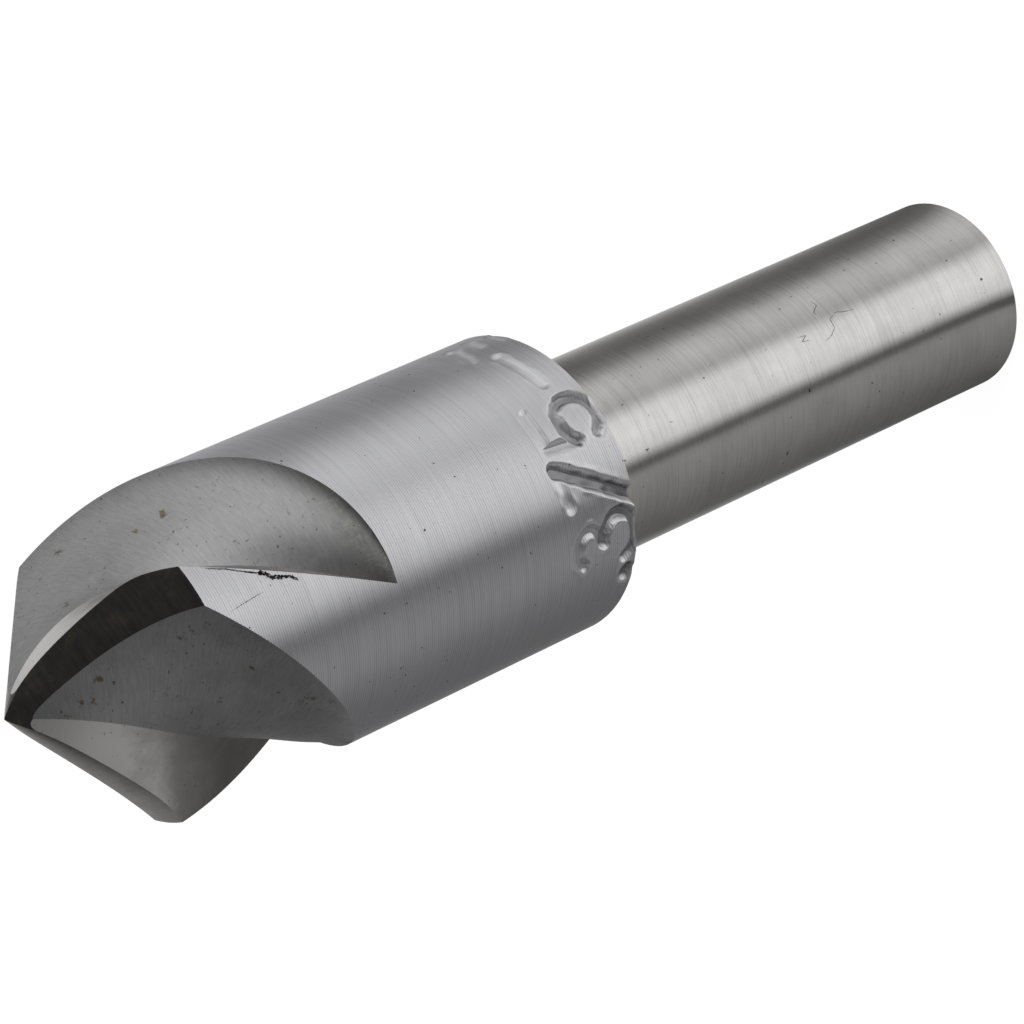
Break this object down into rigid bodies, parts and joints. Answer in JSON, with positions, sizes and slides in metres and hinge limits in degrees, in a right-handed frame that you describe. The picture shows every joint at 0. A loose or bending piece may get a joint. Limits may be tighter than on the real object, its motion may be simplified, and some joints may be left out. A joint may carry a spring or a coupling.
{
  "type": "countersink bit",
  "caption": "Small one-piece countersink bit: a plain round shank, a stepped-up round body and a conical cutting point with wide spiral flutes and relieved lands.",
  "frame": {"origin": "centre of the flat end of the shank, on which the bit stands", "axes": "+Z along the bit's axis from the shank to the point; +X through the outer corner of one cutting edge"},
  "size_m": [0.0096, 0.0096, 0.0401],
  "materials": {
    "tool_steel": "ground and turned bare tool steel"
  },
  "bodies": {
    "root": {"countersink_bit": "tool_steel"}
  },
  "joints": []
}
